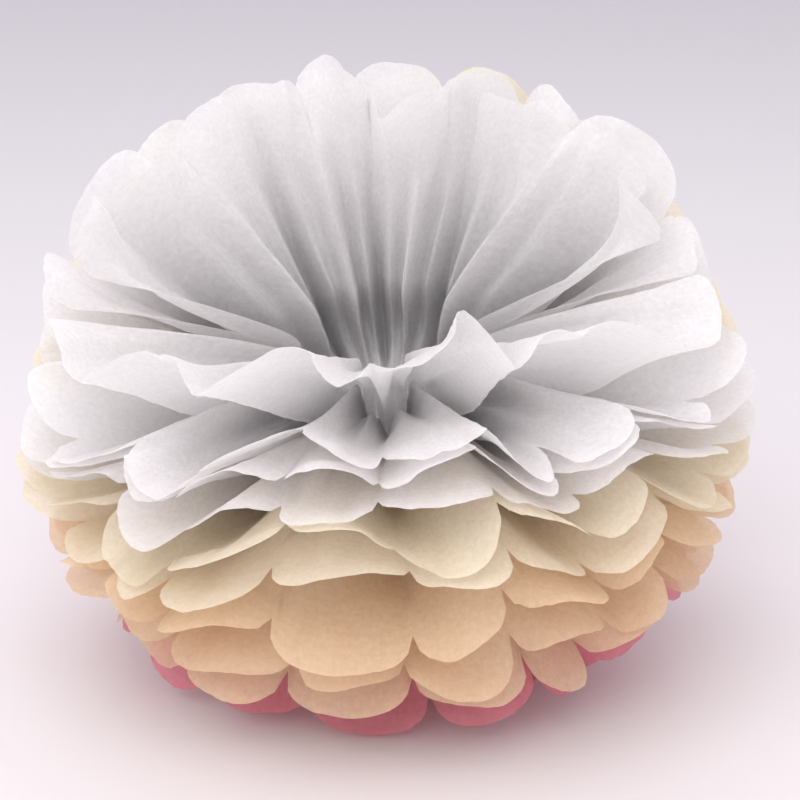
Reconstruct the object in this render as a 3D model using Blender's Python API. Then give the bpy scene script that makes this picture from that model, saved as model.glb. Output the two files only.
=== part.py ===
"""Tissue paper pom pom: twelve sheets, pleated together, tied at the waist and fanned out into a ball.

Every sheet is a rectangle of paper, creased into a fan of equal pleats. A wire gathers its middle, and the two
halves open on either side of it, front and back, each into a half circle of round-ended petals. The sheets share
their creases, so each one nests in the next, from white at the top through ivory and peach to pink underneath.

The ball stands on the pink petals that its weight has pressed flat. Its pole, where the sheets part and the waist
shows, leans forward, towards -Y. Metres, +Z up, origin on the ground under the waist.
"""

import math

import bmesh
import bpy
import numpy as np

# The paper.
PAPER = 0.0004  # modelled thickness; the real tissue is far thinner
PLEATS = 10
HALF_LENGTH = 0.138  # from the waist to a petal's tip
SCALLOP_DEPTH = 0.015  # the notch at a crease lies this far back from the tips

# The waist, and how the ball is set down.
WAIST_HALF_WIDTH = 0.016
NECK = 0.0028  # the bundle runs straight this far to either side of the wire before it spreads
WAIST_PITCH = 0.0012  # from one sheet to the next, where the wire holds them
WAIST_HEIGHT = 0.120
LEAN = math.radians(35.0)  # of the pole from upright, towards -Y
ROLL = math.radians(4.0)  # the right side stands this much higher
SIDE_GAP = math.radians(4.0)  # each half fan stops this far short of the waist's own line

# The angle of each sheet from the pole, in degrees: in front, behind, and at both sides.
SHEETS = (
    ("white_sheet_1", 28, 31, 60),
    ("white_sheet_2", 44, 38, 72),
    ("white_sheet_3", 48, 45, 80),
    ("white_sheet_4", 53, 52, 88),
    ("ivory_sheet_1", 59, 59, 95),
    ("ivory_sheet_2", 66, 66, 101),
    ("peach_sheet_1", 78, 79, 106),
    ("peach_sheet_2", 88, 93, 111),
    ("peach_sheet_3", 98, 106, 116),
    ("pink_sheet_1", 109, 119, 121),
    ("pink_sheet_2", 127, 133, 125),
    ("pink_sheet_3", 152, 152, 131),
)
COLOURS = {
    "white": (0.93, 0.92, 0.93),
    "ivory": (0.93, 0.87, 0.74),
    "peach": (0.92, 0.76, 0.60),
    "pink": (0.87, 0.42, 0.52),
    "waist": (0.62, 0.60, 0.58),
}

# The rows of points from the waist to the petals' ends: (share of the length, points to a pleat).
ROWS = ((0.0, 1), (0.09, 1), (0.35, 1), (0.70, 2), (1.0, 4))
FOOT_ROWS = ((0.0, 1), (0.09, 1), (0.35, 1), (0.66, 2), (0.86, 2), (1.0, 4))

# How deep the pleats stand, at these distances from the waist.
PLEAT_AT = (0.0, 0.012, 0.045, 0.090, 0.138)
PLEAT_DEPTH = (0.0003, 0.0009, 0.0070, 0.0095, 0.0070)
BEND_LENGTH = 0.034  # over which a sheet turns from the wire into its own direction

# How unevenly the petals stand, and the least space between neighbouring sheets.
PETAL_SPREAD = math.radians(2.6)
LEAST_GAP = 0.0011
GAP_GROWTH = 0.018

# Petals that reach the ground turn there and lie on it. Their pleats open out as they come near.
LEAST_TURN = 0.003  # a petal with less than this to spare only touches the ground
PLEATS_FADE_BELOW = 0.030

# The wire round the waist.
WIRE_RADIUS = 0.0006
WIRE_CLEARANCE = 0.0013
TAIL_LENGTH = 0.011
TAIL_TURNS = 2.5


def frame():
    """The ball's own axes: across the waist, from the front fans to the back ones, and towards the pole."""
    pole = np.array([0.0, -math.sin(LEAN), math.cos(LEAN)])
    back = np.array([0.0, math.cos(LEAN), math.sin(LEAN)])
    across = np.array([1.0, 0.0, 0.0])
    turn_c, turn_s = math.cos(ROLL), math.sin(ROLL)
    roll = np.array([[turn_c, 0, -turn_s], [0, 1, 0], [turn_s, 0, turn_c]])
    return roll @ across, roll @ back, roll @ pole


ACROSS, BACK, POLE = frame()
WAIST = np.array([0.0, 0.0, WAIST_HEIGHT])


def azimuth(pleat):
    """The direction round the pole, from the waist's right end, of a place along the fan counted in pleats."""
    return SIDE_GAP + (math.pi - 2 * SIDE_GAP) * pleat / PLEATS


def crease_sign(pleat):
    """1 on a crease that stands towards the pole, -1 on one that stands away, 0 halfway between them."""
    return 1.0 - 2.0 * np.abs((pleat + 1.0) % 2.0 - 1.0)


def scallop(pleat):
    """How far along the petal its rounded end reaches: 0 at a crease, 1 in the middle of a pleat."""
    across = np.abs(2.0 * (pleat % 1.0) - 1.0)
    return np.sqrt(np.maximum(1.0 - across**2.4, 0.0))


def uneven(layer, side):
    """A smooth, seeded wander of each petal's angle along the fan, as a list of waves."""
    rng = np.random.default_rng(100 * layer + side)
    return [(rng.uniform(0.5, 1.0), cycles, rng.uniform(0, 2 * math.pi)) for cycles in (1.5, 2.7, 4.3)]


def sheet_angles(side, pleat, reach):
    """The angle from the pole of every sheet at these places, the sheets kept in order and apart.

    side is 1 behind and -1 in front. The cosine of the angle runs from its value at the side to the one in the
    middle of the fan, with the sine of the azimuth.
    """
    swing = np.sin(azimuth(pleat))
    distance = np.maximum(reach, 1e-4)
    angles = []
    for layer, (_, front, behind, beside) in enumerate(SHEETS):
        middle = math.radians(behind if side > 0 else front)
        edge = math.radians(beside)
        angle = np.arccos(math.cos(edge) + (math.cos(middle) - math.cos(edge)) * swing)
        wander = sum(
            size * np.sin(2 * math.pi * cycles * pleat / PLEATS + phase)
            for size, cycles, phase in uneven(layer, side + 1)
        )
        angles.append(angle + PETAL_SPREAD * wander * (reach / HALF_LENGTH) ** 2 * swing)
    least = (LEAST_GAP + GAP_GROWTH * reach) / distance
    least = np.minimum(least, math.radians(3.0))
    for _ in range(12):
        for upper in range(len(SHEETS) - 1):
            short = np.maximum(least - (angles[upper + 1] - angles[upper]), 0.0) / 2
            angles[upper] = angles[upper] - short
            angles[upper + 1] = angles[upper + 1] + short
    return angles


def bundle_row(layer):
    """A sheet's points under the wire: a nearly flat row across the waist."""
    pleat = np.arange(PLEATS + 1)
    height = ((len(SHEETS) - 1) / 2 - layer) * WAIST_PITCH + PLEAT_DEPTH[0] * crease_sign(pleat)
    across = WAIST_HALF_WIDTH * np.cos(azimuth(pleat))
    return WAIST + np.outer(across, ACROSS) + np.outer(height, POLE)


def fan_row(layer, side, share, per_pleat):
    """One row of points across a half sheet, from its right end to its left end.

    Where a petal is too long to stand above the ground, the row's points turn at the ground and run on along it,
    in the petal's own heading. Only the last row lies beyond the turn.
    """
    pleat = np.linspace(0, PLEATS, PLEATS * per_pleat + 1)
    reach = share * (HALF_LENGTH - SCALLOP_DEPTH * (1.0 - scallop(pleat)))
    bend = np.clip(reach / BEND_LENGTH, 0.0, 1.0)
    bend = bend * bend * (3.0 - 2.0 * bend)
    angle = sheet_angles(side, pleat, reach)[layer]
    angle = math.pi / 2 + (angle - math.pi / 2) * bend
    turn = azimuth(pleat)
    level = np.outer(np.cos(turn), ACROSS) + side * np.outer(np.sin(turn), BACK)
    outward = np.sin(angle)[:, None] * level + np.outer(np.cos(angle), POLE)
    upward = np.outer(np.sin(angle), POLE) - np.cos(angle)[:, None] * level
    start = WAIST + WAIST_HALF_WIDTH * np.outer(np.cos(turn), ACROSS) + side * NECK * BACK
    start = start + ((len(SHEETS) - 1) / 2 - layer) * WAIST_PITCH * POLE
    drop = np.maximum(-outward[:, 2], 1e-3)
    ground = (start[:, 2] - PAPER / 2) / drop
    spare = reach / max(share, 1e-6) - ground
    if share == FOOT_ROWS[-2][0]:
        reach = np.where(spare > LEAST_TURN, ground, reach)
    standing = np.minimum(reach, ground)
    points = start + standing[:, None] * outward
    heading = outward * [1.0, 1.0, 0.0]
    heading /= np.linalg.norm(heading, axis=1)[:, None]
    lying = np.where((spare > LEAST_TURN) & (share == 1.0), spare, 0.0)
    fade = np.clip((points[:, 2] - PAPER / 2) / PLEATS_FADE_BELOW, 0.0, 1.0)
    depth = np.interp(reach, PLEAT_AT, PLEAT_DEPTH) * crease_sign(pleat) * fade
    return points + lying[:, None] * heading + depth[:, None] * upward


def band_faces(first, second):
    """Triangles between two rows of point numbers, the second row as fine as the first or twice as fine."""
    step = (len(second) - 1) // (len(first) - 1)
    faces = []
    for i in range(len(first) - 1):
        near, next_near = first[i], first[i + 1]
        far = second[i * step : (i + 1) * step + 1]
        if step == 1:
            faces += [[near, far[0], next_near], [next_near, far[0], far[1]]]
        else:
            faces += [[near, far[0], far[1]], [near, far[1], next_near], [next_near, far[1], far[2]]]
    return faces


def middle_surface(layer):
    """The whole sheet as one surface without thickness: front fan, waist and back fan."""
    rows = FOOT_ROWS if SHEETS[layer][0].startswith("pink") else ROWS
    points = [bundle_row(layer)]
    bundle = list(range(PLEATS + 1))
    faces = []
    for side in (-1, 1):
        previous = bundle
        for share, per_pleat in rows:
            first = sum(len(row) for row in points)
            points.append(fan_row(layer, side, share, per_pleat))
            numbers = list(range(first, first + len(points[-1])))
            made = band_faces(previous, numbers)
            faces += [face[::-1] for face in made] if side > 0 else made
            previous = numbers
    return np.concatenate(points), faces


def thickened(points, faces):
    """A closed solid round the surface: a copy on either side, and a rim along the free edge.

    What lies on the ground keeps its lower copy exactly on it.
    """
    plain = bmesh.new()
    corners = [plain.verts.new(point) for point in points]
    plain.verts.index_update()
    for face in faces:
        plain.faces.new([corners[i] for i in face])
    plain.normal_update()
    normals = np.array([corner.normal for corner in corners])
    rim = [edge.link_loops[0] for edge in plain.edges if edge.is_boundary]
    rim = [(loop.vert.index, loop.link_loop_next.vert.index) for loop in rim]
    plain.free()
    lying = points[:, 2] < PAPER / 2 + 1e-7
    facing = 1.0 if normals[lying, 2].sum() > 0 else -1.0
    steep = np.where(lying, np.maximum(facing * normals[:, 2], 0.5), 1.0)
    offset = normals * (PAPER / 2 / steep)[:, None]
    sides = [points + offset, points - offset]
    sides[0][lying, 2] = PAPER / 2 * (1.0 + facing)
    sides[1][lying, 2] = PAPER / 2 * (1.0 - facing)
    count = len(points)
    solid_faces = [list(face) for face in faces]
    solid_faces += [[i + count for i in face[::-1]] for face in faces]
    solid_faces += [[b, a, a + count, b + count] for a, b in rim]
    return np.concatenate(sides), solid_faces


def mesh_object(name, points, faces, material):
    mesh = bpy.data.meshes.new(name)
    mesh.from_pydata([tuple(point) for point in points], [], faces)
    mesh.materials.append(material)
    obj = bpy.data.objects.new(name, mesh)
    bpy.context.scene.collection.objects.link(obj)
    return obj


def paper_material(colour):
    material = bpy.data.materials.new(colour + "_tissue")
    material.use_nodes = True
    shader = material.node_tree.nodes["Principled BSDF"]
    shader.inputs["Base Color"].default_value = (*COLOURS[colour], 1.0)
    shader.inputs["Roughness"].default_value = 0.75
    return material


def wire_material():
    material = bpy.data.materials.new("waist_wire")
    material.use_nodes = True
    shader = material.node_tree.nodes["Principled BSDF"]
    shader.inputs["Base Color"].default_value = (*COLOURS["waist"], 1.0)
    shader.inputs["Roughness"].default_value = 0.35
    shader.inputs["Metallic"].default_value = 1.0
    return material


def loop_line(per_corner=6, per_side=3):
    """The wire's closed centre line: drawn tight round the bundle, with a round turn at each of its corners."""
    bend = WIRE_CLEARANCE + WIRE_RADIUS
    half_high = (len(SHEETS) - 1) / 2 * WAIST_PITCH
    corners = []
    for number, (right, up) in enumerate(((1, 1), (-1, 1), (-1, -1), (1, -1))):
        turn = math.pi / 2 * (number + np.linspace(0, 1, per_corner))
        across = right * WAIST_HALF_WIDTH + bend * np.cos(turn)
        high = up * half_high + bend * np.sin(turn)
        corners.append(np.column_stack([across, high]))
    line = []
    for number, corner in enumerate(corners):
        following = corners[(number + 1) % 4][0]
        line += list(corner)
        line += [corner[-1] + (following - corner[-1]) * i / per_side for i in range(1, per_side)]
    line = np.array(line)
    return WAIST + np.outer(line[:, 0], ACROSS) + np.outer(line[:, 1], POLE)


def wire_loop(sides=8):
    """The loop as a tube: a ring of points about each place of its centre line."""
    line = loop_line()
    steps = len(line)
    along = np.roll(line, -1, axis=0) - np.roll(line, 1, axis=0)
    along /= np.linalg.norm(along, axis=1)[:, None]
    outward = np.cross(along, BACK)
    around = np.linspace(0, 2 * math.pi, sides, endpoint=False)
    points = [
        centre + WIRE_RADIUS * (math.cos(a) * out + math.sin(a) * BACK)
        for centre, out in zip(line, outward)
        for a in around
    ]
    faces = []
    for i in range(steps):
        for j in range(sides):
            near, far = i * sides, (i + 1) % steps * sides
            faces.append([near + j, far + j, far + (j + 1) % sides, near + (j + 1) % sides])
    return np.array(points), faces


def wire_tail(steps=20, sides=10):
    """The two ends twisted together: a two-lobed outline that turns as it runs down from the loop."""
    half_high = (len(SHEETS) - 1) / 2 * WAIST_PITCH + WIRE_CLEARANCE + WIRE_RADIUS
    points = []
    for i in range(steps + 1):
        down = half_high - WIRE_RADIUS * 0.4 + TAIL_LENGTH * i / steps
        twist = 2 * math.pi * TAIL_TURNS * i / steps
        for j in range(sides):
            turn = 2 * math.pi * j / sides
            radius = WIRE_RADIUS * (1.25 + 0.55 * math.cos(2 * turn))
            spread = math.cos(turn + twist) * ACROSS + math.sin(turn + twist) * BACK
            points.append(WAIST - down * POLE + radius * spread)
    faces = [list(range(sides)), [steps * sides + j for j in range(sides)][::-1]]
    for i in range(steps):
        for j in range(sides):
            near, far = i * sides, (i + 1) * sides
            faces.append([near + j, far + j, far + (j + 1) % sides, near + (j + 1) % sides])
    return np.array(points), faces


def outward_faces(obj):
    """Turns the faces of a closed mesh so that they point out of it."""
    shape = bmesh.new()
    shape.from_mesh(obj.data)
    bmesh.ops.recalc_face_normals(shape, faces=shape.faces)
    shape.to_mesh(obj.data)
    shape.free()


def build_wire():
    material = wire_material()
    loop = mesh_object("waist_wire", *wire_loop(), material)
    tail = mesh_object("waist_wire_tail_cutter", *wire_tail(), material)
    for piece in (loop, tail):
        outward_faces(piece)
    tail.hide_render = True
    tail.display_type = "WIRE"
    join = loop.modifiers.new("twisted_ends", "BOOLEAN")
    join.operation = "UNION"
    join.object = tail


def build_sheets():
    materials = {colour: paper_material(colour) for colour in COLOURS if colour != "waist"}
    for layer, (name, *_) in enumerate(SHEETS):
        points, faces = middle_surface(layer)
        sheet = mesh_object(name, *thickened(points, faces), materials[name.split("_")[0]])
        outward_faces(sheet)


def main():
    for obj in list(bpy.data.objects):
        bpy.data.objects.remove(obj)
    build_sheets()
    build_wire()


main()
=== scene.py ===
"""A tissue paper pom pom on a pale table.

Twelve sheets of tissue, white, ivory, peach and pink, are pleated together, wired round the middle and fanned out
into a ball. Each is a fine surface of its own. Lengths are in metres and angles in radians unless a name says so.
"""

import math

import bpy
import numpy as np
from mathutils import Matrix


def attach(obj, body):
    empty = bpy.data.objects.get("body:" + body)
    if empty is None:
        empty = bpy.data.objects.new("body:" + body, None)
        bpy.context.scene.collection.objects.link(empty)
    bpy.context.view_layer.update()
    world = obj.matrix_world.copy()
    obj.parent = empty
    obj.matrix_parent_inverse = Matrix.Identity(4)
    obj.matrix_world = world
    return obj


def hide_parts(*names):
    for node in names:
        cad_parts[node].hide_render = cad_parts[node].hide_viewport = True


# The ball, as part.py sets it down.
PLEATS = 10
PLEAT_WIDTH = 0.0430
HALF_LENGTH = 0.138
WAIST_HALF_WIDTH = 0.016
NECK = 0.0028
WAIST_PITCH = 0.0012
WAIST_HEIGHT = 0.120
LEAN = math.radians(35.0)
ROLL = math.radians(4.0)
SIDE_GAP = math.radians(4.0)

# Each sheet: its angle from the pole in front, behind and at both sides, in degrees.
SHEETS = (
    ("white_sheet_1", 28, 31, 60),
    ("white_sheet_2", 44, 38, 72),
    ("white_sheet_3", 48, 45, 80),
    ("white_sheet_4", 53, 52, 88),
    ("ivory_sheet_1", 59, 59, 95),
    ("ivory_sheet_2", 66, 66, 101),
    ("peach_sheet_1", 78, 79, 106),
    ("peach_sheet_2", 88, 93, 111),
    ("peach_sheet_3", 98, 106, 116),
    ("pink_sheet_1", 109, 119, 121),
    ("pink_sheet_2", 127, 133, 125),
    ("pink_sheet_3", 152, 152, 131),
)

# How finely the paper is made.
COLUMNS_PER_PLEAT = 22
ROWS = 58
FIELD_COLUMNS = 421
FIELD_ROWS = 72


def ball_axes():
    """Across the waist, from the front fans to the back ones, and towards the pole, as unit vectors."""
    roll_cos, roll_sin = math.cos(ROLL), math.sin(ROLL)
    roll = np.array([[roll_cos, 0, -roll_sin], [0, 1, 0], [roll_sin, 0, roll_cos]])
    across = roll @ [1.0, 0.0, 0.0]
    back = roll @ [0.0, math.cos(LEAN), math.sin(LEAN)]
    pole = roll @ [0.0, -math.sin(LEAN), math.cos(LEAN)]
    return across, back, pole


ACROSS, BACK, POLE = ball_axes()
WAIST = np.array([0.0, 0.0, WAIST_HEIGHT])


# ---------------------------------------------------------------- small mathematics


def smooth(x):
    """The smooth step from 0 to 1, held at its ends."""
    x = np.clip(x, 0.0, 1.0)
    return x * x * (3.0 - 2.0 * x)


def lattice_noise(x, y, seed):
    """Smooth value noise from -1 to 1: random values on a whole-number grid, blended between its points."""
    values = np.random.default_rng(seed).uniform(-1.0, 1.0, (64, 64))
    column, row = np.floor(x).astype(int), np.floor(y).astype(int)
    fx, fy = smooth(x - column), smooth(y - row)
    at = lambda i, j: values[(column + i) % 64, (row + j) % 64]
    near = at(0, 0) * (1 - fx) + at(1, 0) * fx
    far = at(0, 1) * (1 - fx) + at(1, 1) * fx
    return near * (1 - fy) + far * fy


def sampled(field, columns, rows):
    """Values of a grid between its points, by blending the four around each place."""
    columns = np.clip(columns, 0, field.shape[1] - 1.001)
    rows = np.clip(rows, 0, field.shape[0] - 1.001)
    c, r = np.floor(columns).astype(int), np.floor(rows).astype(int)
    fc, fr = columns - c, rows - r
    upper = field[r, c] * (1 - fc) + field[r, c + 1] * fc
    lower = field[r + 1, c] * (1 - fc) + field[r + 1, c + 1] * fc
    return upper * (1 - fr) + lower * fr


def per_petal(values, pleat):
    """A value for each petal: full in its middle and fading to nothing at its creases."""
    index = np.clip(np.floor(pleat).astype(int), 0, PLEATS - 1)
    return values[index] * np.sin(math.pi * (pleat - index)) ** 0.8


# ---------------------------------------------------------------- the shape of the fans


def crease_azimuths(layer, side, reach):
    """Azimuths of the creases at a distance from the waist. They wander from the even fan as they run out."""
    even = SIDE_GAP + (math.pi - 2 * SIDE_GAP) * np.arange(PLEATS + 1) / PLEATS
    rng = np.random.default_rng(1000 + 20 * layer + side)
    shared = np.random.default_rng(77 + side).uniform(-1, 1, PLEATS + 1)
    own = rng.uniform(-1, 1, PLEATS + 1)
    stray = math.radians(4.0) * shared + math.radians(3.2) * own
    stray[[0, -1]] = 0.0
    return even + stray * smooth(reach / HALF_LENGTH)


def pleat_of(layer, side, azimuth, reach):
    """The place along the fan, counted in pleats, that lies at this azimuth."""
    return np.interp(azimuth, crease_azimuths(layer, side, reach), np.arange(PLEATS + 1))


def pleat_depths(azimuth_of_creases, reach, angle, layer, side):
    """Half the height of the folds at each crease: what a pleat's width leaves over when its chord is taken out."""
    round_pole = reach * np.sin(angle) + WAIST_HALF_WIDTH * np.sin(azimuth_of_creases)
    chords = np.diff(azimuth_of_creases) * (round_pole[1:] + round_pole[:-1]) / 2
    left_over = np.sqrt(np.maximum(PLEAT_WIDTH**2 - chords**2, 0.0)) / 2
    at_creases = np.concatenate([left_over[:1], (left_over[1:] + left_over[:-1]) / 2, left_over[-1:]])
    room = 0.0003 + 0.58 * reach * smooth(reach / 0.02)
    deepest, shallowest = (0.0170, 0.0085) if side > 0 else (0.0210, 0.0095)
    flattened = deepest + (shallowest - deepest) * smooth((reach - 0.040) / 0.090)
    if layer < 4:
        flattened = flattened * (1.7 - (1.35 if layer == 0 or side < 0 else 1.1) * np.sin(azimuth_of_creases))
    return np.minimum(at_creases, np.minimum(room, flattened))


def zigzag(pleat, softness):
    """1 and -1 on alternate creases. Its corners round off with softness."""
    sharp = 1.0 - 2.0 * np.abs((pleat + 1.0) % 2.0 - 1.0)
    return (1.0 - softness) * sharp + softness * np.sin(math.pi / 2 * sharp)


def fan_field(layer, side, azimuths, reaches):
    """The sheet's angle from the pole on a grid of distances and azimuths, pleats and petals' own bends included."""
    _, front, behind, beside = SHEETS[layer]
    middle = math.radians(behind if side > 0 else front)
    edge = math.radians(beside)
    rng = np.random.default_rng(4000 + 20 * layer + side)
    curl = rng.uniform(-1.0, 1.0, PLEATS) * math.radians(5.5)
    if side > 0 and layer < 3:
        curl = curl - rng.uniform(0.0, 2.0, PLEATS) * math.radians((8.0, 5.0, 2.5)[layer])
    cup = rng.uniform(-1.0, 1.0, PLEATS) * math.radians(4.0)
    crease_height = rng.uniform(0.70, 1.15, PLEATS + 1)
    waves = [(rng.uniform(0.5, 1.0), cycles, rng.uniform(0, 2 * math.pi)) for cycles in (1.5, 2.7, 4.3)]
    field = np.empty((len(reaches), len(azimuths)))
    for row, reach in enumerate(reaches):
        out = reach / HALF_LENGTH
        pleat = pleat_of(layer, side, azimuths, reach)
        swing = np.sin(azimuths)
        angle = np.arccos(math.cos(edge) + (math.cos(middle) - math.cos(edge)) * swing)
        wander = sum(a * np.sin(2 * math.pi * n * pleat / PLEATS + p) for a, n, p in waves)
        angle = angle + math.radians(1.7) * wander * out**2 * swing
        angle = angle + per_petal(curl, pleat) * smooth((out - 0.55) / 0.45) ** 1.5
        angle = angle + per_petal(cup, pleat) * smooth(out / 0.7)
        angle = math.pi / 2 + (angle - math.pi / 2) * smooth(reach / 0.046)
        creases = crease_azimuths(layer, side, reach)
        depths = pleat_depths(creases, reach, np.interp(creases, azimuths, angle), layer, side)
        depths = depths * (1.0 + (crease_height - 1.0) * smooth(out / 0.6))
        depth = np.interp(pleat, np.arange(PLEATS + 1), depths)
        fade = 1.0 - smooth((reach - 0.03) / (0.105 if side > 0 else 0.08))
        gathers = ((0.115, 0.095, 0.085, 0.085) + (0.06,) * 8)[layer] * (reach * np.sin(angle) + WAIST_HALF_WIDTH * swing) * fade
        folds = depth * zigzag(pleat, 0.10 + 0.8 * out) + gathers * zigzag(3.0 * pleat, 0.5)
        field[row] = angle - folds / (reach + 0.004)
    return field


def kept_in_order(fields, reaches):
    """The fields of one side, moved apart so that each sheet lies clear below the one before it.

    Pushing only down from the first sheet keeps every gap, and so does pushing only up from the last. The mean of
    the two keeps them too, and moves no sheet far.
    """
    gap = np.minimum((0.0010 + 0.012 * reaches) / (reaches + 0.004), math.radians(2.6))[:, None]
    down = [fields[0]]
    for field in fields[1:]:
        down.append(np.maximum(field, down[-1] + gap))
    up = [fields[-1]]
    for field in fields[-2::-1]:
        up.append(np.minimum(field, up[-1] - gap))
    return [(a + b) / 2 for a, b in zip(down, up[::-1])]


def side_fields(side):
    azimuths = np.linspace(0.0, math.pi, FIELD_COLUMNS)
    reaches = np.linspace(0.0, HALF_LENGTH, FIELD_ROWS)
    fields = [fan_field(layer, side, azimuths, reaches) for layer in range(len(SHEETS))]
    ordered = kept_in_order(fields, reaches)
    return [np.clip(field, math.radians(4), math.radians(176)) for field in ordered]


def petal_length(layer, side, pleat):
    """The paper's length from the waist: a rounded end to each petal, with a notch at each crease."""
    rng = np.random.default_rng(7000 + 20 * layer + side)
    index = np.clip(np.floor(pleat).astype(int), 0, PLEATS - 1)
    across = np.abs(2.0 * (pleat - index) - 1.0)
    rounded = np.maximum(1.0 - across**2.3, 0.0) ** (1 / 2.1)
    most = 0.013 if side > 0 and layer < 4 else 0.005
    notch = 0.008 if side < 0 and layer == 0 else 0.019
    shorter = rng.uniform(0.0, most, PLEATS)[index] * rounded
    lopsided = rng.uniform(-0.0035, 0.0035, PLEATS)[index] * np.sin(2 * math.pi * (pleat - index))
    torn = 0.00035 * lattice_noise(pleat * 23.0, pleat * 0 + layer, 50 + layer)
    return HALF_LENGTH - notch * (1.0 - rounded) - shorter + lopsided * 0.5 + torn - 0.0004


def wrinkles(layer, side, pleat, reach):
    """Heights of the paper's fine folds: long ones that run out from the waist, and small crumples."""
    seed = 300 + 20 * layer + side
    out = reach / HALF_LENGTH
    along = pleat * PLEAT_WIDTH
    rays = lattice_noise(pleat * 4.3 + 3, reach * 14 + 5, seed) + 0.6 * lattice_noise(pleat * 9.1, reach * 18, seed + 1)
    crumple = np.abs(lattice_noise(along * 62, reach * 48, seed + 2)) - 0.4
    fine = np.abs(lattice_noise(along * 150 + 9, reach * 120, seed + 3)) - 0.4
    return rays * 0.0009 * np.minimum(out * 1.6, 1.0) + (crumple * 0.0014 + fine * 0.0006) * out


def rested(points, stack):
    """The ground under the ball: what would lie below it is flattened on it and spreads outwards."""
    softness = 0.0035
    above = softness * np.logaddexp(0.0, (points[..., 2] - stack) / softness) + stack
    lost = above - points[..., 2]
    outward = points[..., :2] / (np.linalg.norm(points[..., :2], axis=-1, keepdims=True) + 0.02)
    result = points.copy()
    result[..., :2] += outward * (0.7 * lost)[..., None]
    result[..., 2] = above
    return result


def half_sheet(layer, side, field):
    """Points of one half of a sheet on a grid: rows from the waist to the petals' ends, columns along the fan."""
    pleat = np.linspace(0, PLEATS, PLEATS * COLUMNS_PER_PLEAT + 1)
    share = np.linspace(0.0, 1.0, ROWS) ** 0.9
    reach = share[:, None] * petal_length(layer, side, pleat)[None, :]
    spread = smooth(reach / HALF_LENGTH)
    creases = crease_azimuths(layer, side, HALF_LENGTH)
    even = SIDE_GAP + (math.pi - 2 * SIDE_GAP) * pleat / PLEATS
    far = np.interp(pleat, np.arange(PLEATS + 1), creases)
    azimuth = even[None, :] + (far - even)[None, :] * spread
    angle = sampled(field, azimuth / math.pi * (FIELD_COLUMNS - 1), reach / HALF_LENGTH * (FIELD_ROWS - 1))
    grid = np.broadcast_to(pleat, reach.shape)
    level = np.cos(azimuth)[..., None] * ACROSS + side * np.sin(azimuth)[..., None] * BACK
    outward = np.sin(angle)[..., None] * level + np.cos(angle)[..., None] * POLE
    upward = np.sin(angle)[..., None] * POLE - np.cos(angle)[..., None] * level
    start = WAIST + WAIST_HALF_WIDTH * np.cos(azimuth)[..., None] * ACROSS + side * NECK * BACK
    start = start + ((len(SHEETS) - 1) / 2 - layer) * WAIST_PITCH * POLE
    points = start + reach[..., None] * outward
    points = points + wrinkles(layer, side, grid, reach)[..., None] * upward
    return rested(points, 0.0004 + 0.0005 * (len(SHEETS) - 1 - layer)), grid * PLEAT_WIDTH, reach


def torn_fibres(points, paper, seed):
    """Short curved threads where the scissors tore the paper, at each notch between petals.

    points and paper are a half sheet's grids of places in space and on the flat paper. Returns a list of strips,
    each as its points and its places on the paper.
    """
    rng = np.random.default_rng(seed)
    strips = []
    for notch in range(1, PLEATS):
        for _ in range(rng.integers(2, 5)):
            column = notch * COLUMNS_PER_PLEAT + rng.integers(-1, 2)
            root = points[-1, column]
            outward = root - points[-3, column]
            sideways = points[-1, column + 1] - points[-1, column - 1]
            outward, sideways = outward / np.linalg.norm(outward), sideways / np.linalg.norm(sideways)
            lift = np.cross(outward, sideways)
            length, lean, bend, rise = rng.uniform(0.0012, 0.0036), *rng.uniform(-0.9, 0.9, 2), rng.uniform(-0.5, 0.5)
            heading = outward + lean * sideways + rise * lift
            strip = []
            for step in np.linspace(0.0, 1.0, 4):
                centre = root + length * (step * heading + bend * step**2 * sideways)
                half_width = 0.00011 * (1.0 - 0.75 * step)
                strip += [centre - half_width * sideways, centre + half_width * sideways]
            strip = np.array(strip)
            strip[:, 2] = np.maximum(strip[:, 2], 0.0002)
            strips.append((strip, np.tile(paper[-1, column], (8, 1))))
    return strips


def paper_mesh(name, layer, front_field, back_field):
    """One sheet as a single surface: the front fan turned round, the waist, then the back fan.

    Its UV map holds the place on the flat paper in metres.
    """
    front, front_u, front_reach = half_sheet(layer, -1, front_field)
    back, back_u, back_reach = half_sheet(layer, 1, back_field)
    front_paper = np.stack([front_u, -front_reach - NECK], -1)
    back_paper = np.stack([back_u, back_reach + NECK], -1)
    rows, columns = 2 * ROWS, front.shape[1]
    number = np.arange(rows * columns).reshape(rows, columns)
    faces = np.stack([number[:-1, :-1], number[:-1, 1:], number[1:, 1:], number[1:, :-1]], -1).reshape(-1, 4)
    points = [np.concatenate([front[::-1], back]).reshape(-1, 3)]
    paper = [np.concatenate([front_paper[::-1], back_paper]).reshape(-1, 2)]
    faces = [faces]
    count = rows * columns
    strips = torn_fibres(front, front_paper, 90 + layer) + torn_fibres(back, back_paper, 190 + layer)
    for strip, places in strips:
        points.append(strip)
        paper.append(places)
        faces.append(np.array([[0, 1, 3, 2], [2, 3, 5, 4], [4, 5, 7, 6]]) + count)
        count += len(strip)
    points, paper, faces = np.concatenate(points), np.concatenate(paper), np.concatenate(faces)
    mesh = bpy.data.meshes.new(name)
    mesh.from_pydata(points.tolist(), [], faces.tolist())
    mesh.uv_layers.new(name="paper").data.foreach_set("uv", paper[faces.ravel()].ravel())
    mesh.polygons.foreach_set("use_smooth", [True] * len(mesh.polygons))
    mesh.update()
    return mesh


# ---------------------------------------------------------------- the wire round the waist

WIRE_RADIUS = 0.0006
WIRE_BEND = 0.0019


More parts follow.
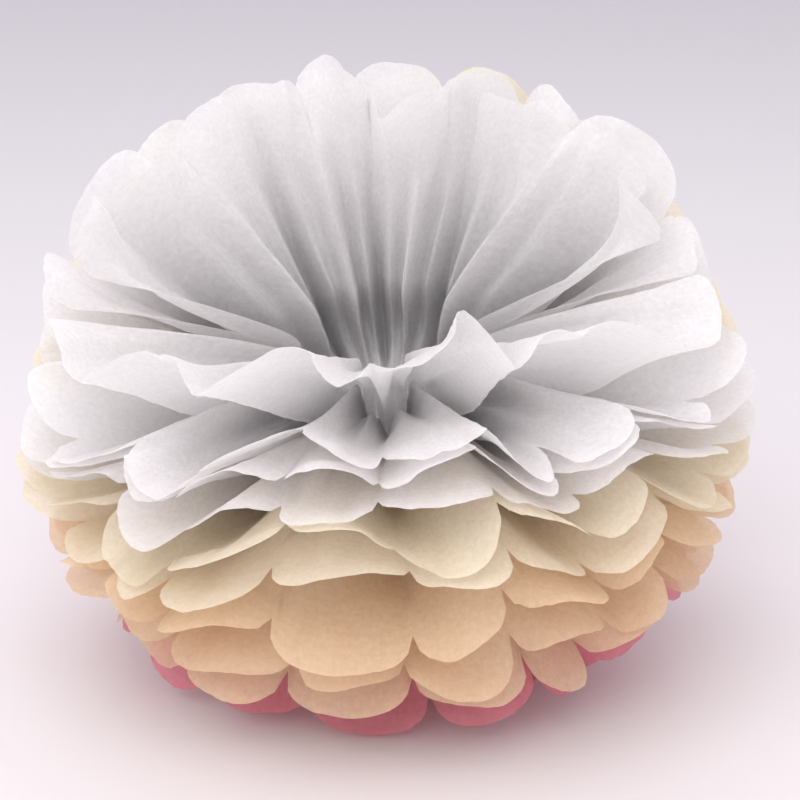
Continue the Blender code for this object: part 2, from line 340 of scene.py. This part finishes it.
def tube(line, radius, sides, closed):
    """Points and faces of a round tube about a line, its ends filled unless it is a closed loop."""
    line = np.array(line)
    if closed:
        along = np.roll(line, -1, axis=0) - np.roll(line, 1, axis=0)
    else:
        along = np.gradient(line, axis=0)
    along /= np.linalg.norm(along, axis=1)[:, None]
    first = np.cross(along, BACK + 0.01 * ACROSS)
    first /= np.linalg.norm(first, axis=1)[:, None]
    second = np.cross(along, first)
    turn = np.linspace(0, 2 * math.pi, sides, endpoint=False)
    ring = np.cos(turn)[None, :, None] * first[:, None] + np.sin(turn)[None, :, None] * second[:, None]
    points = (line[:, None] + radius * ring).reshape(-1, 3)
    faces = []
    for i in range(len(line) - (0 if closed else 1)):
        near, far = i * sides, (i + 1) % len(line) * sides
        faces += [[near + j, near + (j + 1) % sides, far + (j + 1) % sides, far + j] for j in range(sides)]
    if not closed:
        faces += [list(range(sides))[::-1], [len(points) - sides + j for j in range(sides)]]
    return points, faces


def waist_loop():
    """The wire's centre line: straight along the bundle's sides, with a round turn at each corner."""
    half_high = (len(SHEETS) - 1) / 2 * WAIST_PITCH
    line = []
    for number, (right, up) in enumerate(((1, 1), (-1, 1), (-1, -1), (1, -1))):
        for turn in math.pi / 2 * (number + np.linspace(0, 1, 9)):
            across = right * WAIST_HALF_WIDTH + WIRE_BEND * math.cos(turn)
            high = up * half_high + WIRE_BEND * math.sin(turn)
            line.append(WAIST + across * ACROSS + high * POLE)
    return line


def twisted_end(start_turn):
    """One of the wire's two ends, wound round the other as they run down from the loop."""
    half_high = (len(SHEETS) - 1) / 2 * WAIST_PITCH + WIRE_BEND
    line = []
    for step in np.linspace(0.0, 1.0, 60):
        turn = start_turn + 2 * math.pi * 2.5 * step
        sideways = 0.00062 * (math.cos(turn) * ACROSS + math.sin(turn) * BACK)
        line.append(WAIST - (half_high + 0.0110 * step) * POLE + sideways)
    return line


def wire_material():
    material = bpy.data.materials.new("bright_wire")
    material.use_nodes = True
    shader = material.node_tree.nodes["Principled BSDF"]
    shader.inputs["Base Color"].default_value = (0.62, 0.60, 0.58, 1)
    shader.inputs["Metallic"].default_value = 1.0
    shader.inputs["Roughness"].default_value = 0.32
    return material


def build_wire():
    points, faces = [], []
    for line, closed in ((waist_loop(), True), (twisted_end(0.0), False), (twisted_end(math.pi), False)):
        made, joined = tube(line, WIRE_RADIUS, 12, closed)
        first = sum(len(part) for part in points)
        points.append(made)
        faces += [[i + first for i in face] for face in joined]
    mesh = bpy.data.meshes.new("tie_wire")
    mesh.from_pydata(np.concatenate(points).tolist(), [], faces)
    mesh.polygons.foreach_set("use_smooth", [True] * len(mesh.polygons))
    mesh.materials.append(wire_material())
    piece = bpy.data.objects.new("tie_wire", mesh)
    bpy.context.scene.collection.objects.link(piece)
    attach(piece, "root")
    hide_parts("waist_wire")
    return piece


# ---------------------------------------------------------------- materials


class Nodes:
    """Adds nodes to one node tree and joins them."""

    def __init__(self, tree):
        self.tree = tree

    def add(self, kind, settings=None, **inputs):
        node = self.tree.nodes.new(kind)
        for key, value in (settings or {}).items():
            setattr(node, key, value)
        for key, value in inputs.items():
            name = key.replace("_", " ")
            if isinstance(value, bpy.types.NodeSocket):
                self.tree.links.new(value, node.inputs[name])
            else:
                node.inputs[name].default_value = value
        return node

    def link(self, start, end):
        self.tree.links.new(start, end)

    def math(self, operation, first, second=0.0):
        node = self.tree.nodes.new("ShaderNodeMath")
        node.operation = operation
        for socket, value in zip(node.inputs, (first, second)):
            if isinstance(value, bpy.types.NodeSocket):
                self.tree.links.new(value, socket)
            else:
                socket.default_value = value
        return node.outputs[0]


def fibre_group():
    """Tissue's look up close: cloudy fibre density as a value near 1, and a height for fine crinkles."""
    group = bpy.data.node_groups.new("tissue_fibres", "ShaderNodeTree")
    group.interface.new_socket(name="Paper", in_out="INPUT", socket_type="NodeSocketVector")
    group.interface.new_socket(name="Density", in_out="OUTPUT", socket_type="NodeSocketFloat")
    group.interface.new_socket(name="Crinkle", in_out="OUTPUT", socket_type="NodeSocketFloat")
    nodes = Nodes(group)
    enter = nodes.add("NodeGroupInput")
    leave = nodes.add("NodeGroupOutput")
    place = enter.outputs["Paper"]
    clouds = nodes.add("ShaderNodeTexNoise", Vector=place, Scale=420.0, Detail=3.0, Roughness=0.7)
    large = nodes.add("ShaderNodeTexNoise", Vector=place, Scale=70.0, Detail=3.0, Roughness=0.6)
    squeeze = nodes.add("ShaderNodeMapping", Vector=place, Scale=(1.0, 0.16, 1.0))
    hairs = nodes.add("ShaderNodeTexNoise", Vector=squeeze.outputs[0], Scale=1900.0, Detail=2.0, Roughness=0.6)
    total = nodes.math("MULTIPLY", clouds.outputs["Fac"], 0.55)
    total = nodes.math("ADD", total, nodes.math("MULTIPLY", large.outputs["Fac"], 0.25))
    total = nodes.math("ADD", total, nodes.math("MULTIPLY", hairs.outputs["Fac"], 0.20))
    nodes.link(nodes.math("ADD", nodes.math("MULTIPLY", nodes.math("SUBTRACT", total, 0.5), 1.0), 1.0), leave.inputs["Density"])
    pull = nodes.add("ShaderNodeMapping", Vector=place, Scale=(1.0, 0.30, 1.0))
    folds = nodes.add("ShaderNodeTexNoise", Vector=pull.outputs[0], Scale=160.0, Detail=3.0, Roughness=0.55, Distortion=0.6)
    cells = nodes.add("ShaderNodeTexVoronoi", {"feature": "DISTANCE_TO_EDGE"}, Vector=place, Scale=70.0)
    edges = nodes.math("MINIMUM", nodes.math("MULTIPLY", cells.outputs["Distance"], 3.0), 0.5)
    height = nodes.math("ADD", nodes.math("MULTIPLY", folds.outputs["Fac"], 0.8), nodes.math("MULTIPLY", edges, 0.25))
    nodes.link(height, leave.inputs["Crinkle"])
    return group


def tissue_material(name, colour, glow, fibres):
    """Thin paper: part of the light goes through it and comes out scattered, and a little passes straight."""
    material = bpy.data.materials.new(name)
    material.use_nodes = True
    material.node_tree.nodes.clear()
    nodes = Nodes(material.node_tree)
    place = nodes.add("ShaderNodeUVMap", {"uv_map": "paper"})
    look = nodes.add("ShaderNodeGroup", {"node_tree": fibres})
    nodes.link(place.outputs["UV"], look.inputs["Paper"])
    bump = nodes.add("ShaderNodeBump", Strength=0.55, Distance=0.0014, Height=look.outputs["Crinkle"])
    tone = nodes.add("ShaderNodeHueSaturation", Color=(*colour, 1.0))
    brightness = nodes.math("ADD", nodes.math("MULTIPLY", look.outputs["Density"], 0.10), 0.90)
    nodes.link(brightness, tone.inputs["Value"])
    front = nodes.add(
        "ShaderNodeBsdfPrincipled", Base_Color=tone.outputs[0], Roughness=0.72, Normal=bump.outputs[0], Specular_IOR_Level=0.25
    )
    through = nodes.add("ShaderNodeBsdfTranslucent", Color=(*glow, 1.0), Normal=bump.outputs[0])
    amount = nodes.math("SUBTRACT", 0.98, nodes.math("MULTIPLY", look.outputs["Density"], 0.46))
    body = nodes.add("ShaderNodeMixShader", Fac=amount)
    nodes.link(front.outputs[0], body.inputs[1])
    nodes.link(through.outputs[0], body.inputs[2])
    clear = nodes.add("ShaderNodeBsdfTransparent")
    holes = nodes.math("SUBTRACT", 0.62, nodes.math("MULTIPLY", look.outputs["Density"], 0.46))
    paper = nodes.add("ShaderNodeMixShader", Fac=holes)
    nodes.link(body.outputs[0], paper.inputs[1])
    nodes.link(clear.outputs[0], paper.inputs[2])
    output = nodes.add("ShaderNodeOutputMaterial")
    nodes.link(paper.outputs[0], output.inputs["Surface"])
    material.use_transparent_shadow = False
    return material


TISSUE = {
    "white": ((0.970, 0.957, 0.967), (0.990, 0.958, 0.945)),
    "ivory": ((0.97, 0.90, 0.74), (0.99, 0.90, 0.70)),
    "peach": ((0.95, 0.76, 0.55), (0.97, 0.72, 0.47)),
    "pink": ((0.89, 0.35, 0.42), (0.93, 0.27, 0.36)),
}


def build_sheets():
    front_fields, back_fields = side_fields(-1), side_fields(1)
    fibres = fibre_group()
    materials = {name: tissue_material(name + "_paper", *colours, fibres) for name, colours in TISSUE.items()}
    places = np.linspace(0, PLEATS, 2401)
    for layer, (node, *_) in enumerate(SHEETS):
        colour = node.split("_")[0]
        mesh = paper_mesh(node + "_paper", layer, front_fields[layer], back_fields[layer])
        mesh.materials.append(materials[colour])
        piece = bpy.data.objects.new(node + "_paper", mesh)
        bpy.context.scene.collection.objects.link(piece)
        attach(piece, "root")
        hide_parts(node)
        cut = sum(np.mean(petal_length(layer, side, places)) + NECK for side in (-1, 1))


# ---------------------------------------------------------------- table, light and camera


def build_table():
    """A wide sheet of paper under the ball: pinkish near it, greyer and more lavender far behind. The greyer, lavender
    colour far behind is painted shade, standing for the light falling off towards the back.
    """
    mesh = bpy.data.meshes.new("table")
    mesh.from_pydata([(-6, -3, 0), (6, -3, 0), (6, 9, 0), (-6, 9, 0)], [], [(0, 1, 2, 3)])
    table = bpy.data.objects.new("table", mesh)
    bpy.context.scene.collection.objects.link(table)
    material = bpy.data.materials.new("table_paper")
    material.use_nodes = True
    nodes = Nodes(material.node_tree)
    place = nodes.add("ShaderNodeTexCoord")
    parts = nodes.add("ShaderNodeSeparateXYZ", Vector=place.outputs["Object"])
    # Painted shade: the paper's colour darkens and cools with distance behind the ball, standing in for the light
    # falling off.
    ramp = nodes.add("ShaderNodeMapRange", Value=parts.outputs["Y"], From_Min=0.1, From_Max=2.2)
    colours = nodes.add("ShaderNodeValToRGB", Fac=ramp.outputs[0])
    colours.color_ramp.elements[0].color = (0.82, 0.775, 0.80, 1)
    colours.color_ramp.elements[1].color = (0.62, 0.59, 0.64, 1)
    shader = material.node_tree.nodes["Principled BSDF"]
    shader.inputs["Roughness"].default_value = 0.6
    shader.inputs["Specular IOR Level"].default_value = 0.2
    nodes.link(colours.outputs[0], shader.inputs["Base Color"])
    mesh.materials.append(material)


def area_light(name, place, target, size, power, colour):
    light = bpy.data.lights.new(name, "AREA")
    light.shape = "DISK"
    light.size = size
    light.energy = power
    light.color = colour
    lamp = bpy.data.objects.new(name, light)
    lamp.location = place
    direction = np.array(target) - np.array(place)
    lamp.rotation_euler = direction_rotation(direction)
    bpy.context.scene.collection.objects.link(lamp)


def direction_rotation(direction):
    """Turns that point an object's -Z along a direction with its own +Y uppermost."""
    x, y, z = direction / np.linalg.norm(direction)
    return (math.acos(np.clip(-z, -1, 1)), 0.0, math.atan2(-x, y))


def build_light():
    area_light("softbox_above", (-0.15, -0.80, 1.30), (0, 0, 0.12), 1.2, 9, (1.0, 0.99, 1.0))
    area_light("softbox_left", (-0.9, -1.0, 0.9), (0, 0, 0.12), 1.2, 3.5, (1.0, 0.98, 0.98))
    world = bpy.data.worlds.new("room")
    world.use_nodes = True
    world.node_tree.nodes["Background"].inputs["Color"].default_value = (0.95, 0.94, 0.97, 1)
    world.node_tree.nodes["Background"].inputs["Strength"].default_value = 0.97
    bpy.context.scene.world = world


def build_camera():
    elevation = math.radians(20)
    target = np.array([0.005, 0.0, 0.119])
    away = np.array([0.0, -math.cos(elevation), math.sin(elevation)])
    camera = bpy.data.cameras.new("camera")
    camera.lens = 85
    camera.sensor_width = 36
    holder = bpy.data.objects.new("camera", camera)
    holder.location = target + 0.785 * away
    holder.rotation_euler = direction_rotation(-away)
    bpy.context.scene.collection.objects.link(holder)
    bpy.context.scene.camera = holder
    bpy.context.scene.view_settings.view_transform = "Standard"


def limit_light_paths():
    """Paper scatters light many times over. These many turns are enough for it to look full."""
    cycles = bpy.context.scene.cycles
    cycles.max_bounces = 4
    cycles.diffuse_bounces = 2
    cycles.transmission_bounces = 3
    cycles.transparent_max_bounces = 3
    cycles.glossy_bounces = 1
    cycles.adaptive_threshold = 0.1
    cycles.caustics_reflective = False
    cycles.caustics_refractive = False


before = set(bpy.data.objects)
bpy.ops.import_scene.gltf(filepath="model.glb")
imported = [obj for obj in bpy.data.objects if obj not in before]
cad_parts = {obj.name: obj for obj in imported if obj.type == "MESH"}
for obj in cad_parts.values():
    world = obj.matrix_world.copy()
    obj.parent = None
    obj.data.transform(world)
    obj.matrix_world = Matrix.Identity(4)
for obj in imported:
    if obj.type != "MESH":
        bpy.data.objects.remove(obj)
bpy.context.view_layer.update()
build_camera()
limit_light_paths()
build_table()
build_light()
build_wire()
build_sheets()
